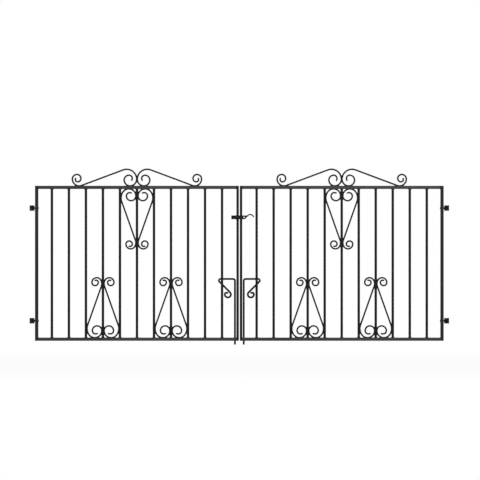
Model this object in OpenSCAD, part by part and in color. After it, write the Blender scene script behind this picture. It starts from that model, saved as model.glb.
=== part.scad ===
// Pair of low wrought iron driveway gate leaves, closed and latched.
// X runs along the gate, +Y points away from the latch side, +Z is up.
// The origin is the middle of the back face of the lower left hinge bracket.

/* [Leaf] */
// Width of each leaf over its stiles
leaf_w = 1078; // [1000:1:1200]
// Height of each leaf over its rails
frame_h = 820; // [780:1:1100]
// Side of the square bar of the rails and hinge stiles
frame_bar = 17; // [14:0.5:20]
// Side of the square bar of the infill and meeting stiles
bar_t = 13; // [10:0.5:14]
// Number of infill bars in each leaf
bar_count = 11; // [9:2:13]
// Distance from each side of the leaf to the middle of the nearest infill bar
end_bay = 89; // [80:0.5:100]
// Gap between the two meeting stiles
meeting_gap = 5; // [5:0.5:12]

/* [Scrolls] */
// Thickness of the flat bar that the scrolls are bent from
scroll_t = 8.5; // [6:0.5:10]
// Depth of the scroll bar from front to back
scroll_d = 12; // [8:0.5:14]
// Gap at a weld between a curled bar and what it touches
weld_gap = 0.2; // [0.1:0.05:0.3]
// Depth of the flat dressed on a curl where it is welded to a bar or rail
scroll_flat = 4.8; // [2:0.1:5]
// Height of the scrolls inside the panel
panel_scroll_h = 321; // [280:1:360]
// Width of the small curl of a panel scroll from the bar that it is welded to
panel_curl_w = 56; // [48:1:62]
// Bars between the middle bar and the bar of a lower scroll pair
lower_scroll_step = 2; // [2:1:3]
// Height of the crest above the top rail
crest_h = 91.5; // [84:0.5:110]
// Reach of each crest scroll from the middle of the leaf
crest_reach = 346; // [300:1:400]
// Height of the small outer curl of a crest scroll
crest_curl_h = 64; // [54:1:70]
// Depth of the flat dressed on each crest scroll where the two of a leaf meet
crest_flat = 2.5; // [1:0.5:4]

/* [Hinges] */
// Height of the lower hinges above the bottom of the leaf
lower_hinge_h = 106; // [80:1:200]
// Depth of the upper hinges below the top of the leaf
upper_hinge_drop = 118; // [80:1:200]
// Distance from the post to the middle of the hinge pin
pin_reach = 16; // [15:0.5:20]
// Distance from the middle of the hinge pin to the hinge stile
pin_offset = 11; // [10:0.5:16]
// Height of a hinge bracket
bracket_h = 29; // [26:0.5:40]
// Width of a hinge bracket across the post
bracket_w = 60; // [54:1:80]
// Thickness of a bracket's back plate
bracket_t = 2.5; // [2:0.5:4]
// Thickness of each ear of a bracket
ear_t = 5; // [4:0.5:6]
// Width of the ears and of the eye between them
eye_d = 16; // [15:0.5:18]
// Diameter of the hinge pin
pin_d = 9; // [7:0.5:10]
// Radial clearance of the hinge pin in the eye and ears
pin_fit = 0.05; // [0.03:0.01:0.09]
// Gap above, below and behind the eye
eye_gap = 0.5; // [0.3:0.1:1]
// Diameter of the shank that fixes the eye to the stile
shank_d = 10; // [8:0.5:12]
// Radial clearance of the shank in the stile
shank_fit = 0.1; // [0.05:0.05:0.2]
// Diameter of the riveted shank end
rivet_d = 14; // [13:0.5:16]
// Height of the riveted shank end
rivet_h = 2.5; // [2:0.1:3]
// Diameter of the screw holes
screw_d = 6.5; // [5:0.5:8]
// Distance between the two screw holes
screw_spacing = 40; // [34:1:44]

/* [Latch] */
// Height of the latch below the top of the leaf
latch_drop = 167; // [140:1:220]
// Height of the latch arm
latch_h = 20; // [18:0.5:24]
// Thickness of the latch arm
latch_t = 6; // [5:0.5:8]
// Gap between the latch arm and the stiles behind it
latch_gap = 5; // [5:0.5:8]
// Length of the latch bracket beside the left meeting stile
latch_bracket_w = 27; // [26:0.5:36]
// Thickness of the latch bracket
latch_bracket_t = 6; // [5:0.5:8]
// Distance from the end of the latch arm to its pivot
latch_pivot_in = 9; // [9:0.5:12]
// Diameter of the latch pivot
latch_pin_d = 8; // [6:0.5:9]
// Radial clearance of the latch pivot
latch_pin_fit = 0.05; // [0.03:0.01:0.09]
// Gap on each side of the latch arm at its pivot
latch_side_gap = 0.4; // [0.3:0.1:0.8]
// Diameter of the boss behind the latch arm and of the pivot's head
latch_boss_d = 16; // [13:0.5:18]
// Height of the pivot's head
latch_head_h = 3; // [2:0.5:4]
// Length of the latch arm beyond the right meeting stile
latch_overhang = 15; // [14:0.5:24]
// Diameter of the padlock hole
padlock_d = 7; // [6:0.5:8]
// Distance from the right meeting stile to the padlock hole
padlock_out = 9.5; // [8:0.5:10]
// Distance from the end of the latch arm to the middle of its arched tail
tail_out = 27; // [25:0.5:32]
// Depth of the middle of the arch below the middle of the arm
tail_drop = 3; // [0:0.5:5]
// Bend radius of the arched tail
tail_r = 18; // [16:0.5:20]
// Thickness of the arched tail
tail_t = 6.5; // [4:0.5:7]
// Thickness of the hooked keeper
keeper_t = 6; // [5:0.5:8]
// Gap between the latch arm and the front of the keeper
keeper_gap = 5; // [5:0.5:8]
// Gap between the resting latch arm and the keeper under it
keeper_seat = 0.3; // [0.3:0.1:0.6]
// Height of the keeper's lip above the underside of the arm
keeper_lip = 14; // [10:1:18]

/* [Drop bolts] */
// Diameter of a drop bolt's rod
bolt_d = 10.5; // [9:0.5:12]
// Radial clearance of the rod in the bottom rail
bolt_fit = 0.4; // [0.3:0.05:0.6]
// Gap between the rod and the meeting stile
bolt_gap = 2.5; // [2:0.1:6]
// Length of the rod below the bottom rail
bolt_foot = 20; // [10:1:60]
// Height of the handle above the bottom of the leaf
bolt_handle_h = 327; // [280:1:400]
// Bend radius between the rod and the handle
bolt_bend = 10; // [8:0.5:12]
// Diameter of the handle
handle_d = 10.5; // [8:0.5:11]
// Gap between the handle and the bar that it wraps round
wrap_gap = 1.5; // [1:0.5:2.5]
// Gap between the bar and the end of the handle's loop
loop_gap = 5; // [4:0.5:7]
// Bend radius of the handle's loop
loop_r = 8; // [7:0.5:9]
// Slope of the handle's return below the loop
return_slope = 45; // [40:1:48]
// Gap between the rod and the handle's curl
curl_gap = 11; // [10:0.5:14]
// Outer bend radius of the handle's curl
curl_r = 16; // [15:0.5:18]
// Inner bend radius of the handle's curl
curl_inner_r = 9; // [8:0.5:12]

/* [Hidden] */

paint = "#262626";
bare = "#3a3a3a";
$fn = 96;
// Length by which a cutting shape passes the face that it cuts
cut = 1;

// Places in the leaf
leaf_left = pin_reach + pin_offset;
leaf_right = leaf_left + leaf_w;
leaf_mid = leaf_left + leaf_w / 2;
gate_w = 2 * leaf_right + meeting_gap;
base_z = -lower_hinge_h;
top_z = base_z + frame_h;
middle_bar = (bar_count - 1) / 2;
bar_pitch = (leaf_w - 2 * end_bay) / (bar_count - 1);
rail_left = leaf_left + frame_bar;
rail_right = leaf_right - bar_t;
function bar_x(i) = leaf_mid + (i - middle_bar) * bar_pitch;

// Forms of a curl as bend ratios and turns: the wide first bend, then the tighter bends to the tip
panel_form = [[1.5, 35], [0.67, 180], [0.47, 130]];
crest_form = [[1.5, 90], [0.88, 90], [0.73, 90], [0.49, 135]];
bend_step = 7.5;

// Hinge
lower_hinge_z = 0;
upper_hinge_z = top_z - upper_hinge_drop;
eye_h = bracket_h - 2 * ear_t - 2 * eye_gap;
fork_root = pin_reach - eye_d / 2 - eye_gap;

// Latch, with the arm in front of the stiles
latch_z = top_z - latch_drop;
latch_back = -bar_t / 2 - latch_gap;
latch_front = latch_back - latch_t;
latch_left = rail_right - latch_bracket_w;
latch_pivot_x = latch_left + latch_pivot_in;
right_stile_face = leaf_right + meeting_gap + bar_t;
latch_right = right_stile_face + latch_overhang;
tail_tip_turn = 10;
tail_root_turn = 135;
tail_steps = 20;

// Drop bolt, with lengths measured outwards from the rod
bolt_x = rail_right - bolt_gap - bolt_d / 2;
bolt_top = base_z + bolt_handle_h;
wrap_bar = bolt_x - bar_x(bar_count - 1);
wrap_y = bar_t / 2 + wrap_gap + handle_d / 2;
wrap_clear = wrap_bar - bar_t / 2 - wrap_gap - handle_d / 2;
loop_mid = wrap_bar + bar_t / 2 + loop_gap + handle_d / 2 - loop_r;
loop_turn = 180 - return_slope;
loop_end = [loop_mid + loop_r * sin(return_slope), -loop_r * (1 + cos(return_slope))];
curl_start = bolt_d / 2 + curl_gap + handle_d / 2 + curl_r * (1 - sin(return_slope));
return_drop = (loop_end[0] - curl_start) * tan(return_slope);
curl_mid = [
    curl_start + curl_r * sin(return_slope),
    loop_end[1] - return_drop - curl_r * cos(return_slope)
];
curl_inner_mid = [curl_mid[0] + curl_r - curl_inner_r, curl_mid[1]];
curl_turn = 180 + return_slope;
curl_inner_turn = 150;
handle_sides = 12;
handle_step = 15;
handle_runs = 5;

// Draws its children on the right leaf, mirrored about the middle of the gate
module on_right() {
    translate([gate_w, 0, 0])
        mirror([1, 0, 0])
            children();
}

// Square bar from one corner of the leaf's plane to another
module square_bar(from, to, depth) {
    translate([from[0], -depth / 2, from[1]])
        cube([to[0] - from[0], depth, to[1] - from[1]]);
}

// Round bar along X
module round_x(x, z, d, length) {
    translate([x, 0, z])
        rotate([0, 90, 0])
            cylinder(d = d, h = length);
}

// Round bar along -Y, starting at y
module round_front(x, y, z, d, length) {
    translate([x, y, z])
        rotate([90, 0, 0])
            cylinder(d = d, h = length);
}

// Arcs of a curl as pairs of bend radius and turn, from the straight to the tip
function curl_arcs(width, lean, form) =
    let (r = curl_radius(width, form))
    concat(
        [[form[0][0] * r, lean + form[0][1]], [r, 180 - form[0][1]]],
        [for (i = [1 : len(form) - 1]) [form[i][0] * r, form[i][1]]]
    );

// Bend radius of the outer turn of a curl that is as wide as given
function curl_radius(width, form) =
    width / (1 + cos(form[0][1]) + form[0][0] * (1 - cos(form[0][1])));

// Distance from a curl's furthest point sideways to its furthest point lengthways
function curl_rise(r, form) = r * (1 + (form[0][0] - 1) * sin(form[0][1]));

// A place on a bent bar is [x, y, heading], and every bend turns clockwise
function arc_centre(at, r) = [at[0] + r * sin(at[2]), at[1] - r * cos(at[2])];
function after_arc(at, arc) =
    let (mid = arc_centre(at, arc[0]), out = at[2] + 90 - arc[1])
    [mid[0] + arc[0] * cos(out), mid[1] + arc[0] * sin(out), at[2] - arc[1]];
function arc_starts(at, arcs, i = 0) =
    i == len(arcs) ? [] : concat([at], arc_starts(after_arc(at, arcs[i]), arcs, i + 1));

// Places along one bend, and along a whole curl from its first bend to its tip
function bend(at, arc) =
    let (steps = ceil(arc[1] / bend_step))
    [for (i = [1 : steps]) after_arc(at, [arc[0], arc[1] * i / steps])];
function curl(at, arcs) =
    let (starts = arc_starts(at, arcs))
    concat([at], [for (i = [0 : len(arcs) - 1]) each bend(starts[i], arcs[i])]);

// One edge of the bar along a list of places, half a thickness to the left of the heading
function bar_edge(places, half) =
    [for (at = places) [at[0] - half * sin(at[2]), at[1] + half * cos(at[2])]];

// The same places the other way round, with the heading turned back
function turned(places) =
    [for (i = [len(places) - 1 : -1 : 0]) [places[i][0], places[i][1], places[i][2] + 180]];

// S-scroll along Z: a large curl at the foot, as wide as the scroll, and a small one at the head.
// Sizes are taken along the middle of the bar, with the foot at z = 0 and the head's side at x = 0.
module s_scroll(width, length, head_width, form) {
    foot_r = curl_radius(width, form);
    head_r = curl_radius(head_width, form);
    foot_rise = curl_rise(foot_r, form);
    head_rise = curl_rise(head_r, form);
    foot_bend = form[0][0] * foot_r;
    head_bend = form[0][0] * head_r;
    bends = foot_bend + head_bend;
    rise = length - foot_rise - head_rise;
    lean = asin(bends / norm([rise, bends - width])) - atan2(bends - width, rise);
    foot = [width - foot_bend * (1 - cos(lean)), foot_rise + foot_bend * sin(lean), lean - 90];
    head = [head_bend * (1 - cos(lean)), length - head_rise - head_bend * sin(lean), lean + 90];
    places = concat(
        turned(curl(foot, curl_arcs(width, lean, form))),
        curl(head, curl_arcs(head_width, lean, form))
    );
    rotate([90, 0, 0])
        linear_extrude(scroll_d, center = true)
            polygon(concat(bar_edge(places, scroll_t / 2), bar_edge(turned(places), scroll_t / 2)));
}

// Two panel scrolls that stand on z = 0 to either side of an infill bar, dressed flat to fill their bays
module scroll_pair(x) {
    bay = bar_pitch - bar_t;
    extra = scroll_flat - scroll_t;
    for (side = [0, 1])
        translate([x, 0, 0])
            mirror([side, 0, 0])
                translate([bar_t / 2, 0, 0])
                    intersection() {
                        translate([-scroll_flat, 0, -scroll_flat] + [scroll_t, 0, scroll_t] / 2)
                            s_scroll(
                                bay + scroll_flat + extra,
                                panel_scroll_h + extra,
                                panel_curl_w + extra,
                                panel_form
                            );
                        translate([weld_gap, -scroll_d, weld_gap])
                            cube([bay - 2 * weld_gap, 2 * scroll_d, panel_scroll_h]);
                    }
}

// Crest scroll on the hinge side of the leaf, with its large curl at the leaf's middle
module crest_scroll() {
    extra = scroll_flat - scroll_t;
    color(paint)
        translate([leaf_mid, 0, top_z])
            intersection() {
                translate([crest_flat - scroll_t / 2, 0, scroll_t / 2 - scroll_flat])
                    rotate([0, -90, 0])
                        s_scroll(
                            crest_h + extra,
                            crest_reach + crest_flat - scroll_t,
                            crest_curl_h + extra,
                            crest_form
                        );
                translate([-crest_reach - cut, -scroll_d, weld_gap])
                    cube([crest_reach + cut - weld_gap / 2, 2 * scroll_d, crest_h]);
            }
}

// Crest scroll on the meeting side of the leaf
module crest_scroll_inner() {
    translate([2 * leaf_mid, 0, 0])
        mirror([1, 0, 0])
            crest_scroll();
}

module hinge_stile() {
    color(paint)
        difference() {
            square_bar([leaf_left, base_z], [rail_left, top_z], frame_bar);
            for (z = [lower_hinge_z, upper_hinge_z])
                round_x(leaf_left - cut, z, shank_d + 2 * shank_fit, frame_bar + 2 * cut);
        }
}

module meeting_stile() {
    color(paint)
        square_bar([rail_right, base_z], [leaf_right, top_z], bar_t);
}

module top_rail() {
    color(paint)
        square_bar([rail_left, top_z - frame_bar], [rail_right, top_z], frame_bar);
}

// Bottom rail with the hole that the drop bolt slides in
module bottom_rail() {
    color(paint)
        difference() {
            square_bar([rail_left, base_z], [rail_right, base_z + frame_bar], frame_bar);
            translate([bolt_x, 0, base_z - cut])
                cylinder(d = bolt_d + 2 * bolt_fit, h = frame_bar + 2 * cut);
        }
}

module infill_bars() {
    color(paint)
        for (i = [0 : bar_count - 1])
            square_bar(
                [bar_x(i) - bar_t / 2, base_z + frame_bar],
                [bar_x(i) + bar_t / 2, top_z - frame_bar],
                bar_t
            );
}

// Scroll pair that hangs from the top rail at the middle bar
module upper_scrolls() {
    color(paint)
        translate([0, 0, top_z - frame_bar])
            mirror([0, 0, 1])
                scroll_pair(bar_x(middle_bar));
}

// Scroll pair that stands on the bottom rail
module lower_scrolls(step) {
    color(paint)
        translate([0, 0, base_z + frame_bar])
            scroll_pair(bar_x(middle_bar + step));
}

// Eye that turns on the hinge pin, with its shank riveted through the stile
module hinge_eye(z) {
    color(paint)
        difference() {
            union() {
                translate([pin_reach, 0, z - eye_h / 2])
                    cylinder(d = eye_d, h = eye_h);
                round_x(pin_reach, z, shank_d, rail_left - pin_reach);
                translate([rail_left, 0, z])
                    rotate([0, 90, 0])
                        cylinder(d1 = rivet_d, d2 = rivet_d - 2 * rivet_h, h = rivet_h);
            }
            translate([pin_reach, 0, z - eye_h / 2 - cut])
                cylinder(d = pin_d + 2 * pin_fit, h = eye_h + 2 * cut);
        }
}

// Bracket on the post: a drilled back plate with a fork of two rounded ears round the eye
module hinge_bracket(z) {
    color(paint)
        difference() {
            union() {
                translate([0, -bracket_w / 2, z - bracket_h / 2])
                    cube([bracket_t, bracket_w, bracket_h]);
                translate([0, -eye_d / 2, z - bracket_h / 2])
                    cube([fork_root, eye_d, bracket_h]);
                for (ear_z = [z - bracket_h / 2, z + bracket_h / 2 - ear_t]) {
                    translate([0, -eye_d / 2, ear_z])
                        cube([pin_reach, eye_d, ear_t]);
                    translate([pin_reach, 0, ear_z])
                        cylinder(d = eye_d, h = ear_t);
                }
            }
            translate([pin_reach, 0, z - bracket_h / 2 - cut])
                cylinder(d = pin_d + 2 * pin_fit, h = bracket_h + 2 * cut);
            for (y = [-1, 1] * screw_spacing / 2)
                translate([0, y, 0])
                    round_x(-cut, z, screw_d, bracket_t + 2 * cut);
        }
}

module hinge_pin(z) {
    color(bare)
        translate([pin_reach, 0, z - bracket_h / 2])
            cylinder(d = pin_d, h = bracket_h);
}

// Plate beside the left meeting stile, with a boss that holds the latch arm off the stiles
module latch_bracket() {
    color(paint)
        difference() {
            union() {
                translate([latch_left, -bar_t / 2, latch_z - latch_h / 2])
                    cube([latch_bracket_w, latch_bracket_t, latch_h]);
                round_front(latch_pivot_x, -bar_t / 2, latch_z, latch_boss_d, latch_gap - latch_side_gap);
            }
            round_front(
                latch_pivot_x,
                latch_bracket_t - bar_t / 2 + cut,
                latch_z,
                latch_pin_d + 2 * latch_pin_fit,
                latch_bracket_t + latch_gap + 2 * cut
            );
        }
}

// Pivot with a bevelled head in front of the latch arm
module latch_pivot() {
    head_y = latch_front - latch_side_gap;
    color(bare) {
        round_front(
            latch_pivot_x,
            latch_bracket_t - bar_t / 2,
            latch_z,
            latch_pin_d,
            latch_bracket_t - bar_t / 2 - head_y
        );
        translate([latch_pivot_x, head_y, latch_z])
            rotate([90, 0, 0])
                cylinder(d1 = latch_boss_d, d2 = latch_boss_d - 2 * latch_head_h, h = latch_head_h);
    }
}

// Points on an arc round a middle, from one angle to another
function arc_points(mid, r, from, to) =
    [for (i = [0 : tail_steps]) let (a = from + (to - from) * i / tail_steps) mid + r * [cos(a), sin(a)]];

// Flat arm with a pivot hole, a padlock hole and an arched tail to lift it by
module latch_arm() {
    half = latch_h / 2;
    mid = [latch_right + tail_out, -tail_drop];
    outer_r = tail_r + tail_t / 2;
    top_turn = 180 - asin((half + tail_drop) / outer_r);
    arm_outline = concat(
        [[latch_left, -half], [latch_left, half]],
        arc_points(mid, outer_r, top_turn, tail_tip_turn),
        arc_points(mid, tail_r - tail_t / 2, tail_tip_turn, tail_root_turn),
        [[latch_right, -half]]
    );
    color(paint)
        translate([0, latch_back, latch_z])
            rotate([90, 0, 0])
                difference() {
                    linear_extrude(latch_t)
                        polygon(arm_outline);
                    translate([latch_pivot_x, 0, -cut])
                        cylinder(d = latch_pin_d + 2 * latch_pin_fit, h = latch_t + 2 * cut);
                    translate([right_stile_face + padlock_out, 0, -cut])
                        cylinder(d = padlock_d, h = latch_t + 2 * cut);
                }
}

// Hook on the right meeting stile that the latch arm drops into
module latch_keeper() {
    floor_z = latch_z - latch_h / 2 - keeper_seat;
    lip_y = latch_front - keeper_gap;
    color(paint)
        translate([leaf_right + meeting_gap, 0, 0]) {
            translate([0, lip_y - keeper_t, floor_z - keeper_t])
                cube([bar_t, -bar_t / 2 - lip_y + keeper_t, keeper_t]);
            translate([0, lip_y - keeper_t, floor_z])
                cube([bar_t, keeper_t, keeper_seat + keeper_lip]);
        }
}

// Route of the bolt's handle as [outwards, up, back]: behind the last bar, round it and back in front
function ease(t) = t * t * (3 - 2 * t);
function run_point(t) =
    [bolt_bend + (wrap_clear - bolt_bend) * t, 0, wrap_y * ease(t)];
function loop_point(a) =
    [loop_mid + loop_r * sin(a), loop_r * (cos(a) - 1), wrap_y * cos(180 * a / loop_turn)];
function curl_point(mid, r, a) = [mid[0] - r * cos(a), mid[1] + r * sin(a), -wrap_y];
function handle_turns(turn) =
    let (steps = ceil(turn / handle_step))
    [for (i = [0 : steps]) turn * i / steps];
handle_route = concat(
    [for (i = [0 : handle_runs]) run_point(i / handle_runs)],
    [for (a = handle_turns(loop_turn)) loop_point(a)],
    [for (a = handle_turns(curl_turn)) curl_point(curl_mid, curl_r, return_slope - a)],
    [for (a = handle_turns(curl_inner_turn)) if (a > 0) curl_point(curl_inner_mid, curl_inner_r, -180 - a)]
);

// One ring of the handle's surface, square to the route
function ring(i) =
    let (
        last = len(handle_route) - 1,
        step = handle_route[min(i + 1, last)] - handle_route[max(i - 1, 0)],
        along = step / norm(step),
        side = [-along[1], along[0], 0] / norm([along[0], along[1]]),
        over = cross(along, side)
    )
    [
        for (k = [0 : handle_sides - 1])
            let (a = 360 * k / handle_sides)
            handle_route[i] + handle_d / 2 * (cos(a) * side + sin(a) * over)
    ];

// The handle as a round bar swept along its route
module bolt_handle() {
    rings = len(handle_route);
    sides = [
        for (i = [0 : rings - 2], k = [0 : handle_sides - 1])
            let (
                a = i * handle_sides + k,
                b = i * handle_sides + (k + 1) % handle_sides
            )
            each [[b, a, b + handle_sides], [b + handle_sides, a, a + handle_sides]]
    ];
    near_cap = [for (k = [0 : handle_sides - 1]) k];
    far_cap = [for (k = [handle_sides - 1 : -1 : 0]) (rings - 1) * handle_sides + k];
    polyhedron(
        points = [for (i = [0 : rings - 1]) each ring(i)],
        faces = concat(sides, [near_cap], [far_cap])
    );
}

// Rod through the bottom rail, bent over at the top into the handle
module drop_bolt() {
    color(paint)
        translate([bolt_x, 0, bolt_top]) {
            translate([0, 0, -bolt_handle_h - bolt_foot])
                cylinder(d = bolt_d, h = bolt_handle_h + bolt_foot - bolt_bend);
            translate([-bolt_bend, 0, -bolt_bend])
                rotate([90, 0, 0])
                    rotate_extrude(angle = 90)
                        translate([bolt_bend, 0])
                            circle(d = bolt_d);
            rotate([90, 0, 180])
                bolt_handle();
        }
}

hinge_stile();  // left_hinge_stile
meeting_stile();  // left_meeting_stile
top_rail();  // left_top_rail
bottom_rail();  // left_bottom_rail
infill_bars();  // left_bars
crest_scroll();  // left_crest_scroll_outer
crest_scroll_inner();  // left_crest_scroll_inner
upper_scrolls();  // left_upper_scrolls
lower_scrolls(-lower_scroll_step);  // left_lower_scrolls_outer
lower_scrolls(lower_scroll_step);  // left_lower_scrolls_inner
hinge_eye(upper_hinge_z);  // left_upper_hinge_eye
hinge_eye(lower_hinge_z);  // left_lower_hinge_eye
on_right() hinge_stile();  // right_hinge_stile
on_right() meeting_stile();  // right_meeting_stile
on_right() top_rail();  // right_top_rail
on_right() bottom_rail();  // right_bottom_rail
on_right() infill_bars();  // right_bars
on_right() crest_scroll();  // right_crest_scroll_outer
on_right() crest_scroll_inner();  // right_crest_scroll_inner
on_right() upper_scrolls();  // right_upper_scrolls
on_right() lower_scrolls(-lower_scroll_step);  // right_lower_scrolls_outer
on_right() lower_scrolls(lower_scroll_step);  // right_lower_scrolls_inner
on_right() hinge_eye(upper_hinge_z);  // right_upper_hinge_eye
on_right() hinge_eye(lower_hinge_z);  // right_lower_hinge_eye
hinge_bracket(upper_hinge_z);  // left_upper_hinge_bracket
hinge_bracket(lower_hinge_z);  // left_lower_hinge_bracket
on_right() hinge_bracket(upper_hinge_z);  // right_upper_hinge_bracket
on_right() hinge_bracket(lower_hinge_z);  // right_lower_hinge_bracket
hinge_pin(upper_hinge_z);  // left_upper_hinge_pin
hinge_pin(lower_hinge_z);  // left_lower_hinge_pin
on_right() hinge_pin(upper_hinge_z);  // right_upper_hinge_pin
on_right() hinge_pin(lower_hinge_z);  // right_lower_hinge_pin
latch_bracket();
latch_pivot();
latch_arm();
latch_keeper();
drop_bolt();  // left_drop_bolt
on_right() drop_bolt();  // right_drop_bolt
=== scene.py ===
"""Looks of a pair of wrought iron gate leaves: black paint, rounded edges, smooth bends and weld beads."""

import math

import bmesh
import bpy
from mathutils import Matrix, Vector, noise


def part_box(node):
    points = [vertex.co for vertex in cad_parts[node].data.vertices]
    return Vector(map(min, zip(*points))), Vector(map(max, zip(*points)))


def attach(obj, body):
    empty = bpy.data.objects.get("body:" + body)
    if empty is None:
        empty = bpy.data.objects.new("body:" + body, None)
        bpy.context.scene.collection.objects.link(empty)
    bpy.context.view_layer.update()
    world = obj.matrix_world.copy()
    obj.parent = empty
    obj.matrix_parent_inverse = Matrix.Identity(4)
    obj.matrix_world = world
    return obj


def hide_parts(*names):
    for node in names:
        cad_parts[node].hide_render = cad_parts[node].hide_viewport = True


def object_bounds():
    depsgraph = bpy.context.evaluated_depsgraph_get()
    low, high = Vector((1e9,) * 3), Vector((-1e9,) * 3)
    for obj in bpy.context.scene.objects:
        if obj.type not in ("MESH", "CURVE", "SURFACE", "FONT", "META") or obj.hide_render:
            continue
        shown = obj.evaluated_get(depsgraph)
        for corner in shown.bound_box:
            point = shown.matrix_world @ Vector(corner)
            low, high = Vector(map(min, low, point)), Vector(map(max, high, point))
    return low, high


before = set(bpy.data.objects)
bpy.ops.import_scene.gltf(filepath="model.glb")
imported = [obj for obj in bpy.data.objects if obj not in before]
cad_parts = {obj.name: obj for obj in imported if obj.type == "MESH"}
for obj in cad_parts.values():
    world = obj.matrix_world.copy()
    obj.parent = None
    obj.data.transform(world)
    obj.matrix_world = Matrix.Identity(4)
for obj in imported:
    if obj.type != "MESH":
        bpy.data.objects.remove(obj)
CAD_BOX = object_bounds()
GATE_MIDDLE = (CAD_BOX[0] + CAD_BOX[1]) / 2

# Axes
X = Vector((1.0, 0.0, 0.0))
Y = Vector((0.0, 1.0, 0.0))
Z = Vector((0.0, 0.0, 1.0))

# Photograph: size in pixels, metres of the gate for each pixel, and two pixel places on the gate
PHOTO_SIZE = 480
PIXEL = 0.00529
GATE_MIDDLE_COLUMN = 239.34
LEAF_TOP_ROW = 185.78

# Camera: metres to the gate, and millimetres of sensor
CAMERA_DISTANCE = 16.0
SENSOR_WIDTH = 36.0

# Stage: strength 1 is white to the camera
WHITE = (1.0, 1.0, 1.0, 1.0)
AMBIENT = 0.5
FLOOR_Z = -0.24
FLOOR_SIZE = 60.0
FLOOR_GLOW = 0.88
FLOOR_FADE = (0.5, 2.0)
FLOOR_COLOR = (0.82, 0.82, 0.82, 1.0)

# Lamps: place and power in watts
LAMP_SIZE = 3.0
LAMPS = {
    "key_light": ((-0.4, -4.6, 3.4), 90.0),
    "fill_light": ((3.2, -4.6, 2.4), 70.0),
    "back_light": ((1.1, 3.5, 3.5), 60.0),
}

# Gate
SIDES = ("left", "right")
BAR_COUNT = 11

# Paint: colours, sheen, and the stretch of the grain along a bar
PAINT = (0.004, 0.004, 0.0042)
# Hinge stiles: the same black paint made lighter, a painted sheen
STILE_PAINTED_SHEEN = (0.014, 0.014, 0.0145)
# Rails: the same black paint made lighter, a painted sheen for the light that their flat faces catch
RAIL_PAINTED_SHEEN = (0.042, 0.042, 0.043)
# Rounded edges: thinner paint, made lighter as a painted highlight along every edge
EDGE_PAINT_AND_HIGHLIGHT = (0.012, 0.012, 0.0125)
PAINT_SPECULAR = 0.12
BAR_ROUGHNESS = 0.42
SCROLL_ROUGHNESS = 0.4
FITTING_ROUGHNESS = 0.46
WELD_ROUGHNESS = 0.38
EDGE_ROUGHNESS = 0.34
ROUGHNESS_SPREAD = (-0.07, 0.09)
EVEN_GRAIN = (1.0, 1.0, 1.0)
ALONG_X = (0.12, 1.0, 1.0)
ALONG_Z = (1.0, 1.0, 0.12)

# Grains of the paint, and the ranges of their noise that are used
MOTTLE = {"scale": 9.0, "detail": 4.0}
SPECKLE = {"scale": 700.0, "detail": 2.0}
PEEL = {"scale": 420.0, "detail": 1.5}
DRAWN = {"scale": 160.0, "detail": 3.0}
MOTTLE_SHARE = 0.7
SPECKLE_SHARE = 0.3
DARK_PATCH = 0.65
LIGHT_PATCH = 1.5
PATCH_RANGE = (0.32, 0.68)
DRAWN_RANGE = (0.3, 0.7)
DRAWN_BUMP = {"strength": 0.2, "distance": 0.0005}
PEEL_BUMP = {"strength": 0.15, "distance": 0.0003}

# Hinge pins
PIN_PAINT = (0.012, 0.012, 0.013, 1.0)
PIN_STEEL = (0.16, 0.15, 0.14, 1.0)
PIN_RINGS = {"scale": 900.0, "detail": 2.0, "stretch": (0.05, 0.05, 1.0)}
BARE_RANGE = (0.5, 0.62)
BARE_METAL = 0.9
PIN_ROUGHNESS = (0.3, 0.5)
PIN_BUMP = {"strength": 0.2, "distance": 0.0002}

# Rounded edges of the CAD pieces that stay
FRAME_EDGE = 0.0012
BAR_EDGE = 0.001
FITTING_EDGE = 0.0006
EYE_EDGE = 0.0005
PIN_EDGE = 0.0004
EDGE_STEPS = 2
EDGE_SLOT = 1
SHARP_ANGLE = math.radians(40)
FLAT_ANGLE = math.radians(0.5)
FLAT_WEIGHT = 100
SAME_PLACE = 1e-6

# Scrolls: bent from flat bar with rounded edges
SCROLLS = (
    "crest_scroll_outer",
    "crest_scroll_inner",
    "upper_scrolls",
    "lower_scrolls_outer",
    "lower_scrolls_inner",
)
SCROLL_EDGE = 0.0009
SCROLL_EDGE_STEPS = 2
TIP_EDGE = 0.0014
TIP_CLEAR = 0.0025
TIP_TURN = math.radians(60)
CORNER_TURN = math.radians(15)
CURVE_TURN = math.radians(1)
CURVE_LENGTH = 0.001
CURVE_STEPS = 3
STRAIGHT_LENGTH = 0.02
PLACE_DIGITS = 6

# Drop bolts: a rod and its handle, bent from one round bar
BOLT_RADIUS = 0.00525
BOLT_BEND = 0.010
WRAP_GAP = 0.0015
WRAP_STEPS = 16
LOOP_GAP = 0.005
LOOP_RADIUS = 0.008
RETURN_SLOPE = math.radians(45)
CURL_GAP = 0.011
CURL_RADIUS = 0.016
CURL_INNER_RADIUS = 0.009
CURL_INNER_TURN = math.radians(150)
BOLT_EDGE = 0.001
BOLT_EDGE_STEPS = 4
BOLT_CAP_SHARE = 0.6
BOLT_SIDES = 32
BOLT_TURN_STEP = math.radians(5)

# Weld beads
WELD_LEG = 0.003
LEDGE_LEG = 0.0018
CREVICE_LEG = 0.0034
CREVICE_ANGLE = math.radians(28)
RIPPLE = 0.0022
RIPPLE_STEPS = 4
RIPPLE_SHARE = 0.07
UNEVEN_SHARE = 0.16
UNEVEN_SCALE = 260.0
END_TAPER = 0.0025
END_SHARE = 0.35
SIDE_INSET = 0.0006
CORNER_FAN = 4
FEWEST_STEPS = 4
SAME_FLAT = 2e-5

# Section of a fillet bead, in legs along the two faces that it joins
FILLET = ((-0.15, -0.12), (1.0, -0.12), (0.98, 0.08), (0.7, 0.42), (0.42, 0.7), (0.08, 0.98), (-0.12, 1.0))


# Node helpers

def new_material(name):
    """A material with its node tree and its main shader."""
    material = bpy.data.materials.new(name)
    material.use_nodes = True
    tree = material.node_tree
    return material, tree, tree.nodes["Principled BSDF"]


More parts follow.
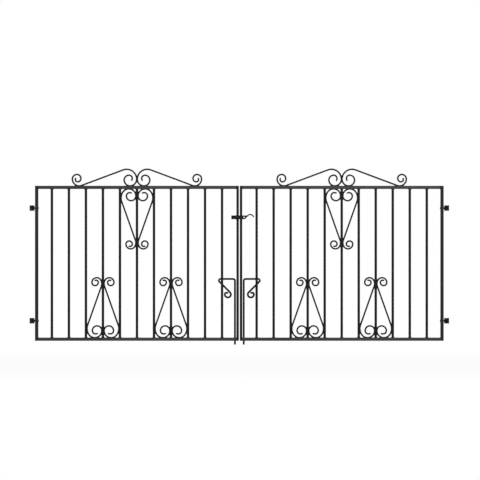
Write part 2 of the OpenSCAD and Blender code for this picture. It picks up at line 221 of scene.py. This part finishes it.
def connect(tree, value, socket):
    """Links an output to a socket, or sets a plain value on it."""
    if isinstance(value, bpy.types.NodeSocket):
        tree.links.new(value, socket)
    else:
        socket.default_value = value


def math_node(tree, operation, first, second=0.0, clamp=False):
    """The result of one operation on one or two values."""
    node = tree.nodes.new("ShaderNodeMath")
    node.operation = operation
    node.use_clamp = clamp
    connect(tree, first, node.inputs[0])
    connect(tree, second, node.inputs[1])
    return node.outputs[0]


def spread(tree, value, low, high, from_low=0.0, from_high=1.0):
    """A value carried from one range to another, held at its ends."""
    node = tree.nodes.new("ShaderNodeMapRange")
    connect(tree, value, node.inputs["Value"])
    node.inputs["From Min"].default_value = from_low
    node.inputs["From Max"].default_value = from_high
    node.inputs["To Min"].default_value = low
    node.inputs["To Max"].default_value = high
    return node.outputs["Result"]


def mix_color(tree, share, first, second):
    """A colour between two others."""
    node = tree.nodes.new("ShaderNodeMix")
    node.data_type = "RGBA"
    connect(tree, share, node.inputs["Factor"])
    connect(tree, first, node.inputs["A"])
    connect(tree, second, node.inputs["B"])
    return node.outputs["Result"]


def grain(tree, scale, detail, stretch=EVEN_GRAIN):
    """Noise fixed to the piece, in patches of about 1/scale metres, longer where the stretch is small."""
    place = tree.nodes.new("ShaderNodeTexCoord")
    mapping = tree.nodes.new("ShaderNodeMapping")
    mapping.inputs["Scale"].default_value = stretch
    tree.links.new(place.outputs["Object"], mapping.inputs["Vector"])
    node = tree.nodes.new("ShaderNodeTexNoise")
    node.inputs["Scale"].default_value = scale
    node.inputs["Detail"].default_value = detail
    tree.links.new(mapping.outputs["Vector"], node.inputs["Vector"])
    return node.outputs["Fac"]


def bump(tree, height, strength, distance, below=None):
    """A normal tilted by a height, on top of another one."""
    node = tree.nodes.new("ShaderNodeBump")
    node.inputs["Strength"].default_value = strength
    node.inputs["Distance"].default_value = distance
    tree.links.new(height, node.inputs["Height"])
    if below is not None:
        tree.links.new(below, node.inputs["Normal"])
    return node.outputs["Normal"]


# Materials

def black_paint(name, color, roughness, stretch=EVEN_GRAIN):
    """Satin black paint: mottled colour, uneven sheen, orange peel and the drawn-out grain of a bar."""
    material, tree, shader = new_material(name)
    mottle = grain(tree, **MOTTLE, stretch=stretch)
    speckle = grain(tree, **SPECKLE)
    peel = grain(tree, **PEEL)
    drawn = grain(tree, **DRAWN, stretch=stretch)
    dark = tuple(c * DARK_PATCH for c in color) + (1.0,)
    light = tuple(c * LIGHT_PATCH for c in color) + (1.0,)
    large = math_node(tree, "MULTIPLY", mottle, MOTTLE_SHARE)
    small = math_node(tree, "MULTIPLY", speckle, SPECKLE_SHARE)
    patches = spread(tree, math_node(tree, "ADD", large, small), 0.0, 1.0, *PATCH_RANGE)
    connect(tree, mix_color(tree, patches, dark, light), shader.inputs["Base Color"])
    smoothest, roughest = (roughness + change for change in ROUGHNESS_SPREAD)
    connect(tree, spread(tree, drawn, smoothest, roughest, *DRAWN_RANGE), shader.inputs["Roughness"])
    shader.inputs["Specular IOR Level"].default_value = PAINT_SPECULAR
    coarse = bump(tree, drawn, **DRAWN_BUMP)
    connect(tree, bump(tree, peel, **PEEL_BUMP, below=coarse), shader.inputs["Normal"])
    return material


def rubbed_pin(name):
    """Dark steel pin: paint that the turning eye has rubbed through in rings."""
    material, tree, shader = new_material(name)
    rings = grain(tree, **PIN_RINGS)
    bare = spread(tree, rings, 0.0, 1.0, *BARE_RANGE)
    connect(tree, mix_color(tree, bare, PIN_PAINT, PIN_STEEL), shader.inputs["Base Color"])
    connect(tree, spread(tree, bare, 0.0, BARE_METAL), shader.inputs["Metallic"])
    connect(tree, spread(tree, rings, *PIN_ROUGHNESS), shader.inputs["Roughness"])
    connect(tree, bump(tree, rings, **PIN_BUMP), shader.inputs["Normal"])
    return material


upright_paint = black_paint("upright_paint", PAINT, BAR_ROUGHNESS, ALONG_Z)
# Hinge stiles: lighter copy of the black paint, a painted sheen
stile_painted_sheen = black_paint("stile_painted_sheen", STILE_PAINTED_SHEEN, BAR_ROUGHNESS, ALONG_Z)
# Rails: lighter copy of the black paint, a painted sheen
rail_painted_sheen = black_paint("rail_painted_sheen", RAIL_PAINTED_SHEEN, BAR_ROUGHNESS, ALONG_X)
scroll_paint = black_paint("scroll_paint", PAINT, SCROLL_ROUGHNESS)
fitting_paint = black_paint("fitting_paint", PAINT, FITTING_ROUGHNESS)
weld_paint = black_paint("weld_paint", PAINT, WELD_ROUGHNESS)
# Rounded edges: thinner paint whose lighter colour is a painted highlight
edge_paint_and_highlight = black_paint("edge_paint_and_highlight", EDGE_PAINT_AND_HIGHLIGHT, EDGE_ROUGHNESS)
pin_steel = rubbed_pin("pin_steel")


# CAD pieces

def even_shading(piece):
    """Lets large faces set the shading, so that flats look flat beside rounded edges."""
    shading = piece.modifiers.new("even_shading", "WEIGHTED_NORMAL")
    shading.weight = FLAT_WEIGHT


def soften(node, paint, width):
    """Rounds the edges of a CAD piece and paints it, with thinner paint on the rounded edges that is made
    lighter as a painted highlight.
    """
    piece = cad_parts[node]
    piece.material_slots[0].material = paint
    piece.data.materials.append(edge_paint_and_highlight)
    join = piece.modifiers.new("join_corners", "WELD")
    join.merge_threshold = SAME_PLACE
    planes = piece.modifiers.new("flat_faces", "DECIMATE")
    planes.decimate_type = "DISSOLVE"
    planes.angle_limit = FLAT_ANGLE
    edge = piece.modifiers.new("rounded_edges", "BEVEL")
    edge.width = width
    edge.segments = EDGE_STEPS
    edge.limit_method = "ANGLE"
    edge.angle_limit = SHARP_ANGLE
    edge.material = EDGE_SLOT
    even_shading(piece)


def paint_cad_pieces():
    """Gives every CAD piece that stays its paint and its rounded edges."""
    for side in SIDES:
        # The hinge stiles take the lighter paint, a painted sheen
        soften(f"{side}_hinge_stile", stile_painted_sheen, FRAME_EDGE)
        soften(f"{side}_meeting_stile", upright_paint, BAR_EDGE)
        soften(f"{side}_bars", upright_paint, BAR_EDGE)
        for rail in ("top_rail", "bottom_rail"):
            # The rails take the lighter paint, a painted sheen
            soften(f"{side}_{rail}", rail_painted_sheen, FRAME_EDGE)
        for level in ("upper", "lower"):
            soften(f"{side}_{level}_hinge_eye", fitting_paint, EYE_EDGE)
            soften(f"{side}_{level}_hinge_bracket", fitting_paint, FITTING_EDGE)
            soften(f"{side}_{level}_hinge_pin", pin_steel, PIN_EDGE)
    for fitting in ("latch_bracket", "latch_arm", "latch_keeper", "latch_pivot"):
        soften(fitting, fitting_paint, FITTING_EDGE)


# New pieces

def skin(mesh, rings, closed=False):
    """Joins rings of points by bands of faces, with a cap on each end unless they close on themselves."""
    bands = []
    for near, far in zip(rings, rings[1:] + rings[:1] if closed else rings[1:]):
        quads = zip(near, near[1:] + near[:1], far[1:] + far[:1], far)
        bands.append([mesh.faces.new(quad) for quad in quads])
    if not closed:
        mesh.faces.new(rings[0][::-1])
        mesh.faces.new(rings[-1])
    return bands


def sweep(mesh, stations, section, closed=False):
    """Skins a section along stations of (place, first axis, second axis), in units of those axes."""
    rings = [[mesh.verts.new(place + a * u + b * v) for a, b in section] for place, u, v in stations]
    skin(mesh, rings, closed)


def quarter_round(radius, steps):
    """A rounded edge as steps of (inset, depth), from the end face to the side."""
    angles = [math.pi / 2 * k / steps for k in range(steps + 1)]
    return [(radius * (1 - math.sin(angle)), radius * (1 - math.cos(angle))) for angle in angles]


def eased(share):
    """A share from 0 to 1 that sets out and arrives gently."""
    return share * share * (3 - 2 * share)


def add_piece(name, mesh, body, material):
    """Makes a named piece of a mesh, smooth and outside out, that rides on a body."""
    bmesh.ops.recalc_face_normals(mesh, faces=mesh.faces)
    data = bpy.data.meshes.new(name)
    mesh.to_mesh(data)
    mesh.free()
    data.shade_smooth()
    data.materials.append(material)
    piece = bpy.data.objects.new(name, data)
    bpy.context.scene.collection.objects.link(piece)
    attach(piece, body)
    return piece


# Scrolls

def outlines(node):
    """Outlines of a CAD piece's front face as loops of (x, z), with the iron on their left."""
    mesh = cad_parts[node].data
    front = round(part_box(node)[0].y, PLACE_DIGITS)
    edges = []
    for face in mesh.polygons:
        points = [[round(c, PLACE_DIGITS) for c in mesh.vertices[i].co] for i in face.vertices]
        if all(y == front for x, y, z in points):
            places = [(x, z) for x, y, z in points]
            edges += zip(places, places[1:] + places[:1])
    shared = {(end, start) for start, end in edges}
    following = dict(edge for edge in edges if edge not in shared)
    loops = []
    while following:
        first, place = following.popitem()
        loop = [Vector(first)]
        while place != first:
            loop.append(Vector(place))
            place = following.pop(place)
        loops.append(loop)
    return loops


def chords_of(loop):
    """Steps from each point of a loop to the next."""
    return [after - before for before, after in zip(loop, loop[1:] + loop[:1])]


def blunt(loop):
    """A loop with its square corners, at the tips of a scroll, rounded off."""
    chords = chords_of(loop)
    tips = [point for i, point in enumerate(loop) if chords[i - 1].angle(chords[i]) > TIP_TURN]

    def clear_of_tips(point):
        return all((point - tip).length > TIP_CLEAR for tip in tips)

    kept = [point for point in loop if point in tips or clear_of_tips(point)]
    chords = chords_of(kept)
    points = []
    for i, point in enumerate(kept):
        if point in tips:
            start = point - TIP_EDGE * chords[i - 1].normalized()
            end = point + TIP_EDGE * chords[i].normalized()
            middle = (start + 2 * point + end) / 4
            points += [start, middle, end]
        else:
            points.append(point)
    return points


def tangent_at(before, after):
    """Direction of a loop between two chords: that of a straight one, or None at a corner."""
    if before.angle(after) > CORNER_TURN:
        return None
    if before.length > STRAIGHT_LENGTH:
        return before.normalized()
    if after.length > STRAIGHT_LENGTH:
        return after.normalized()
    return (before.normalized() + after.normalized()).normalized()


def mirrored(tangent, chord):
    """The tangent at the other end of an arc's chord."""
    return 2 * tangent.project(chord) - tangent


def smooth(loop):
    """A loop with curves in the place of its short chords."""
    chords = chords_of(loop)
    tangents = [tangent_at(chords[i - 1], chords[i]) for i in range(len(loop))]
    points = []
    for place, chord, start, end in zip(loop, chords, tangents, tangents[1:] + tangents[:1]):
        if start is None:
            start = chord.normalized() if end is None else mirrored(end, chord)
        if end is None:
            end = mirrored(start, chord)
        curved = chord.length > CURVE_LENGTH and start.angle(end) > CURVE_TURN
        steps = CURVE_STEPS if curved else 1
        for share in (k / steps for k in range(steps)):
            bow = share * (1 - share) * chord.length * ((1 - share) * start - share * end)
            points.append(place + eased(share) * chord + bow)
    return points


def inset_ring(mesh, loop, inset, y):
    """A ring of points at a depth y, inside a loop of (x, z) by an even inset."""
    normals = [Vector((chord.y, -chord.x)).normalized() for chord in chords_of(loop)]
    ring = []
    for i, point in enumerate(loop):
        mitre = (normals[i - 1] + normals[i]) / (1 + normals[i - 1].dot(normals[i]))
        ring.append(mesh.verts.new((point.x - inset * mitre.x, y, point.y - inset * mitre.y)))
    return ring


def scroll_bars(side, scroll):
    """The scrolls of a CAD piece as smoothly bent bars with rounded edges, in the place of that piece."""
    node = f"{side}_{scroll}"
    low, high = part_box(node)
    edge = quarter_round(SCROLL_EDGE, SCROLL_EDGE_STEPS)
    rows = [(inset, low.y + depth) for inset, depth in edge]
    rows += [(inset, high.y - depth) for inset, depth in reversed(edge)]
    mesh = bmesh.new()
    for loop in outlines(node):
        points = smooth(blunt(loop))
        bands = skin(mesh, [inset_ring(mesh, points, inset, y) for inset, y in rows])
        # The rounded edges take the thinner edge paint, made lighter as a painted highlight
        for band in bands[:SCROLL_EDGE_STEPS] + bands[-SCROLL_EDGE_STEPS:]:
            for face in band:
                face.material_index = EDGE_SLOT
    piece = add_piece(f"{node}_bent_bar", mesh, f"{side}_leaf", scroll_paint)
    piece.data.materials.append(edge_paint_and_highlight)
    even_shading(piece)
    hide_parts(node)


# Drop bolts

def shares(turn):
    """Even steps of a turn, from 0 to 1."""
    steps = math.ceil(turn / BOLT_TURN_STEP)
    return [i / steps for i in range(steps + 1)]


def bolt_route(length, wrap_bar, bar):
    """Middle line of a bolt from its foot to its curl, as (outwards, back, up) from the top of its rod."""
    sine = math.sin(RETURN_SLOPE)
    cosine = math.cos(RETURN_SLOPE)
    back = bar / 2 + WRAP_GAP + BOLT_RADIUS
    run = wrap_bar - back - BOLT_BEND
    loop_out = wrap_bar + bar / 2 + LOOP_GAP + BOLT_RADIUS - LOOP_RADIUS
    loop_turn = math.pi - RETURN_SLOPE
    curl_start = 2 * BOLT_RADIUS + CURL_GAP + CURL_RADIUS * (1 - sine)
    curl_turn = math.pi + RETURN_SLOPE
    curl_out = curl_start + CURL_RADIUS * sine
    return_drop = (loop_out + LOOP_RADIUS * sine - curl_start) * math.tan(RETURN_SLOPE)
    curl_up = -LOOP_RADIUS * (1 + cosine) - return_drop - CURL_RADIUS * cosine
    inner_out = curl_out + CURL_RADIUS - CURL_INNER_RADIUS

    def curl_point(out, radius, angle):
        return Vector((out - radius * math.cos(angle), -back, curl_up + radius * math.sin(angle)))

    route = [Vector((0.0, 0.0, -length))]
    for share in shares(math.pi / 2):
        angle = math.pi / 2 * share
        route.append(BOLT_BEND * Vector((1 - math.cos(angle), 0.0, math.sin(angle) - 1)))
    for i in range(1, WRAP_STEPS + 1):
        share = i / WRAP_STEPS
        route.append(Vector((BOLT_BEND + run * share, back * eased(share), 0.0)))
    for share in shares(loop_turn):
        angle = loop_turn * share
        out = loop_out + LOOP_RADIUS * math.sin(angle)
        route.append(Vector((out, back * math.cos(math.pi * share), LOOP_RADIUS * (math.cos(angle) - 1))))
    for share in shares(curl_turn):
        route.append(curl_point(curl_out, CURL_RADIUS, RETURN_SLOPE - curl_turn * share))
    for share in shares(CURL_INNER_TURN)[1:]:
        route.append(curl_point(inner_out, CURL_INNER_RADIUS, -math.pi - CURL_INNER_TURN * share))
    return route


def rounded_end(station, inward):
    """Stations of a round bar's end, from its flat cap over its rounded edge to its full size."""
    place, u, v = station
    stations = [(place, u * BOLT_CAP_SHARE, v * BOLT_CAP_SHARE)]
    for inset, depth in quarter_round(BOLT_EDGE, BOLT_EDGE_STEPS):
        size = 1 - inset / BOLT_RADIUS
        stations.append((place + inward * depth, u * size, v * size))
    return stations


def round_bar(mesh, route):
    """A round bar along a route, turned as little as the route allows."""
    last = len(route) - 1
    tangents = [(route[min(i + 1, last)] - route[max(i - 1, 0)]).normalized() for i in range(last + 1)]
    u = tangents[0].orthogonal().normalized()
    stations = []
    for i, tangent in enumerate(tangents):
        u = tangents[max(i - 1, 0)].rotation_difference(tangent) @ u
        u = (u - tangent * u.dot(tangent)).normalized()
        stations.append((route[i], u * BOLT_RADIUS, tangent.cross(u) * BOLT_RADIUS))
    foot = rounded_end(stations[0], tangents[0])
    tip = rounded_end(stations[-1], -tangents[-1])
    angles = [math.tau * k / BOLT_SIDES for k in range(BOLT_SIDES)]
    sweep(mesh, foot + stations[1:-1] + tip[::-1], [(math.cos(a), math.sin(a)) for a in angles])


def bolt_rod(side):
    """The drop bolt of a leaf as one smooth bar, in the place of its faceted CAD piece."""
    low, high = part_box(f"{side}_drop_bolt")
    bars_low, bars_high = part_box(f"{side}_bars")
    bar = bars_high.y - bars_low.y
    if side == "left":
        out = -1
        rod_x = high.x - BOLT_RADIUS
        bar_x = bars_high.x - bar / 2
    else:
        out = 1
        rod_x = low.x + BOLT_RADIUS
        bar_x = bars_low.x + bar / 2
    top = Vector((rod_x, 0.0, high.z - BOLT_RADIUS))
    route = bolt_route(top.z - low.z, abs(bar_x - rod_x), bar)
    mesh = bmesh.new()
    round_bar(mesh, [top + Vector((out * point.x, point.y, point.z)) for point in route])
    piece = add_piece(f"{side}_bolt_rod", mesh, f"{side}_bolt", fitting_paint)
    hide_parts(f"{side}_drop_bolt")


# Weld beads

def uneven(place, along):
    """Size of a bead at a place: ripples along it, and slow swelling."""
    ripple = RIPPLE_SHARE * math.cos(math.tau * along / RIPPLE)
    return 1.0 + ripple + UNEVEN_SHARE * noise.noise(place * UNEVEN_SCALE)


def bead_steps(length):
    """Steps of a bead that show its ripples."""
    return max(FEWEST_STEPS, round(length / RIPPLE * RIPPLE_STEPS))


def straight_bead(mesh, start, end, u, v, leg):
    """A bead from start to end between two faces that run along u and v, with tapered ends."""
    run = end - start
    length = run.length
    steps = bead_steps(length)
    stations = []
    for i in range(steps + 1):
        along = length * i / steps
        place = start + run * (i / steps)
        near_end = min(1.0, min(along, length - along) / END_TAPER)
        taper = END_SHARE + (1 - END_SHARE) * math.sin(math.pi / 2 * near_end)
        size = leg * taper * uneven(place, along)
        stations.append((place, u * size, v * size))
    sweep(mesh, stations, FILLET)


def bar_ring(mesh, middle, half, up):
    """A bead all round the end of a square bar, with short legs on the rail's narrow ledges."""
    stations = []
    steps = bead_steps(2 * half)
    along = 0.0
    for quarter in range(4):
        angle = quarter * math.pi / 2
        out = Vector((math.cos(angle), math.sin(angle), 0.0))
        side = Vector((-math.sin(angle), math.cos(angle), 0.0))
        turns = [(i / steps, 0.0) for i in range(steps + 1)]
        turns += [(1.0, i / CORNER_FAN) for i in range(1, CORNER_FAN)]
        for share, turn in turns:
            place = middle + half * out + half * (2 * share - 1) * side
            away = math.cos(turn * math.pi / 2) * out + math.sin(turn * math.pi / 2) * side
            leg = 1.0 / math.hypot(away.x / WELD_LEG, away.y / LEDGE_LEG)
            size = leg * uneven(place, along + 2 * half * share)
            stations.append((place, away * size, up * size))
        along += 2 * half
    sweep(mesh, stations, FILLET, closed=True)


def points_of(node):
    """The points of a CAD piece at rest."""
    return [vertex.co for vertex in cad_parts[node].data.vertices]


def flat(points, direction):
    """The points of the flat that lies furthest along a direction."""
    reach = max(point.dot(direction) for point in points)
    return [point for point in points if reach - point.dot(direction) < SAME_FLAT]


def bar_welds(side):
    """Beads round both ends of every infill bar of a leaf."""
    low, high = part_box(f"{side}_bars")
    half = (high.y - low.y) / 2
    pitch = (high.x - low.x - 2 * half) / (BAR_COUNT - 1)
    mesh = bmesh.new()
    for i in range(BAR_COUNT):
        x = low.x + half + pitch * i
        bar_ring(mesh, Vector((x, 0.0, low.z)), half, Z)
        bar_ring(mesh, Vector((x, 0.0, high.z)), half, -Z)
    add_piece(f"{side}_bar_welds", mesh, f"{side}_leaf", weld_paint)


def crevice_beads(mesh, land, normal):
    """Two beads across a scroll, at the ends of the flat on which its curl is welded to a bar."""
    tangent = normal.cross(Y)
    for way in (-tangent, tangent):
        end = flat(land, way)[0].copy()
        end.y = 0.0
        reach = Y * (max(point.y for point in land) - SIDE_INSET)
        along_curl = math.cos(CREVICE_ANGLE) * way - math.sin(CREVICE_ANGLE) * normal
        straight_bead(mesh, end - reach, end + reach, way, along_curl, CREVICE_LEG)


def panel_scroll_flats(node, to_rail):
    """Flats of a pair of panel scrolls on its rail, on the bars beside it and on the bar in its middle."""
    points = points_of(node)
    low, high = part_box(node)
    middle = (low + high) / 2
    for outward in (-X, X):
        half = [point for point in points if (point - middle).dot(outward) > 0]
        yield flat(half, to_rail), to_rail
        yield flat(half, outward), outward
        for end in (to_rail, -to_rail):
            curl = [point for point in half if (point - middle).dot(end) > 0]
            yield flat(curl, -outward), -outward


def crest_flats(node, inward):
    """Flats of a crest scroll's two curls on the top rail, and on its neighbour."""
    points = points_of(node)
    low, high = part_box(node)
    middle = (low + high) / 2
    for end in (inward, -inward):
        curl = [point for point in points if (point - middle).dot(end) > 0]
        yield flat(curl, -Z), -Z
    yield flat(points, inward), inward


def scroll_welds(side):
    """Beads where the scrolls of a leaf are welded to its rails and bars, and to each other."""
    low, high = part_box(f"{side}_upper_scrolls")
    flats = list(panel_scroll_flats(f"{side}_upper_scrolls", Z))
    for place in ("outer", "inner"):
        flats += panel_scroll_flats(f"{side}_lower_scrolls_{place}", -Z)
        crest = f"{side}_crest_scroll_{place}"
        crest_low, crest_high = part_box(crest)
        inward = X if crest_low.x + crest_high.x < low.x + high.x else -X
        flats += crest_flats(crest, inward)
    mesh = bmesh.new()
    for land, normal in flats:
        crevice_beads(mesh, land, normal)
    add_piece(f"{side}_scroll_welds", mesh, f"{side}_leaf", weld_paint)


def corner_welds(side):
    """Beads in the corners of a leaf, where its rails meet its stiles."""
    mesh = bmesh.new()
    for rail, up in (("bottom_rail", Z), ("top_rail", -Z)):
        low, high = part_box(f"{side}_{rail}")
        face = high.z if up.z > 0 else low.z
        for stile in ("hinge_stile", "meeting_stile"):
            stile_low, stile_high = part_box(f"{side}_{stile}")
            to_left = stile_low.x < low.x
            x = low.x if to_left else high.x
            away = X if to_left else -X
            reach = stile_high.y - SIDE_INSET
            straight_bead(mesh, Vector((x, -reach, face)), Vector((x, reach, face)), away, up, LEDGE_LEG)
            if stile == "meeting_stile":
                for front in (-Y, Y):
                    foot = Vector((x, front.y * stile_high.y, low.z))
                    head = Vector((x, front.y * stile_high.y, high.z))
                    straight_bead(mesh, foot, head, -away, front, LEDGE_LEG)
    add_piece(f"{side}_corner_welds", mesh, f"{side}_leaf", weld_paint)


def latch_welds():
    """Beads that hold the latch bracket and the keeper on the meeting stiles."""
    low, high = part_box("latch_bracket")
    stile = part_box("left_meeting_stile")[0]
    mesh = bmesh.new()
    foot = Vector((stile.x, high.y, low.z))
    head = Vector((stile.x, high.y, high.z))
    straight_bead(mesh, foot, head, -X, Y, WELD_LEG)
    for end, up in ((foot, -Z), (head, Z)):
        front = Vector((stile.x, stile.y + SIDE_INSET, end.z))
        straight_bead(mesh, front, end, -X, up, WELD_LEG)
    add_piece("latch_bracket_weld", mesh, "left_leaf", weld_paint)
    low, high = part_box("latch_keeper")
    mesh = bmesh.new()
    straight_bead(mesh, Vector((low.x, high.y, low.z)), Vector((high.x, high.y, low.z)), -Y, -Z, WELD_LEG)
    add_piece("latch_keeper_weld", mesh, "right_leaf", weld_paint)


# Stage

def shown_directly(tree):
    """1 for rays that show the background itself: from the camera, in a reflection or through glass."""
    path = tree.nodes.new("ShaderNodeLightPath")
    seen = math_node(tree, "ADD", path.outputs["Is Camera Ray"], path.outputs["Is Glossy Ray"])
    return math_node(tree, "ADD", seen, path.outputs["Is Transmission Ray"], clamp=True)


def white_world():
    """White to the camera and in reflections, and a plain soft light on everything else."""
    world = bpy.data.worlds.new("white_studio")
    world.use_nodes = True
    tree = world.node_tree
    background = tree.nodes["Background"]
    background.inputs["Color"].default_value = WHITE
    connect(tree, spread(tree, shown_directly(tree), AMBIENT, 1.0), background.inputs["Strength"])
    bpy.context.scene.world = world


def floor_paint():
    """Pale matt paint that shows as white, but for faint shadow close to the plane of the gate."""
    material, tree, shader = new_material("pale_floor")
    shader.inputs["Base Color"].default_value = FLOOR_COLOR
    shader.inputs["Roughness"].default_value = 1.0
    shader.inputs["Specular IOR Level"].default_value = 0.0
    glow = tree.nodes.new("ShaderNodeEmission")
    mix = tree.nodes.new("ShaderNodeMixShader")
    place = tree.nodes.new("ShaderNodeTexCoord")
    parts = tree.nodes.new("ShaderNodeSeparateXYZ")
    tree.links.new(place.outputs["Object"], parts.inputs["Vector"])
    away = math_node(tree, "ABSOLUTE", parts.outputs["Y"])
    share = spread(tree, away, FLOOR_GLOW, 1.0, *FLOOR_FADE)
    connect(tree, math_node(tree, "MULTIPLY", share, shown_directly(tree)), mix.inputs["Fac"])
    tree.links.new(shader.outputs["BSDF"], mix.inputs[1])
    tree.links.new(glow.outputs["Emission"], mix.inputs[2])
    tree.links.new(mix.outputs["Shader"], tree.nodes["Material Output"].inputs["Surface"])
    return material


def pale_floor():
    """Floor below the dropped bolts."""
    mesh = bmesh.new()
    bmesh.ops.create_grid(mesh, x_segments=1, y_segments=1, size=FLOOR_SIZE / 2)
    data = bpy.data.meshes.new("floor")
    mesh.to_mesh(data)
    mesh.free()
    data.materials.append(floor_paint())
    floor = bpy.data.objects.new("floor", data)
    floor.location = (GATE_MIDDLE.x, 0.0, FLOOR_Z)
    bpy.context.scene.collection.objects.link(floor)


def soft_light(name, place, power):
    """A large square lamp that faces the middle of the gate."""
    data = bpy.data.lights.new(name, "AREA")
    data.shape = "SQUARE"
    data.size = LAMP_SIZE
    data.energy = power
    lamp = bpy.data.objects.new(name, data)
    lamp.location = place
    lamp.rotation_mode = "QUATERNION"
    lamp.rotation_quaternion = (GATE_MIDDLE - Vector(place)).to_track_quat("-Z", "Y")
    bpy.context.scene.collection.objects.link(lamp)


def photo_camera():
    """Camera square on to the gate, placed by two pixels of the photograph."""
    data = bpy.data.cameras.new("camera")
    data.sensor_width = SENSOR_WIDTH
    data.lens = SENSOR_WIDTH * CAMERA_DISTANCE / (PHOTO_SIZE * PIXEL)
    camera = bpy.data.objects.new("camera", data)
    leaf_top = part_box("left_top_rail")[1].z
    camera.location = (
        GATE_MIDDLE.x + (PHOTO_SIZE / 2 - GATE_MIDDLE_COLUMN) * PIXEL,
        -CAMERA_DISTANCE,
        leaf_top - (PHOTO_SIZE / 2 - LEAF_TOP_ROW) * PIXEL,
    )
    camera.rotation_euler = (math.pi / 2, 0.0, 0.0)
    bpy.context.scene.collection.objects.link(camera)
    bpy.context.scene.camera = camera


paint_cad_pieces()
for leaf_side in SIDES:
    for scroll_name in SCROLLS:
        scroll_bars(leaf_side, scroll_name)
    bolt_rod(leaf_side)
    bar_welds(leaf_side)
    scroll_welds(leaf_side)
    corner_welds(leaf_side)
latch_welds()
white_world()
pale_floor()
for lamp_name, (lamp_place, lamp_power) in LAMPS.items():
    soft_light(lamp_name, lamp_place, lamp_power)
photo_camera()
bpy.context.scene.view_settings.view_transform = "Standard"
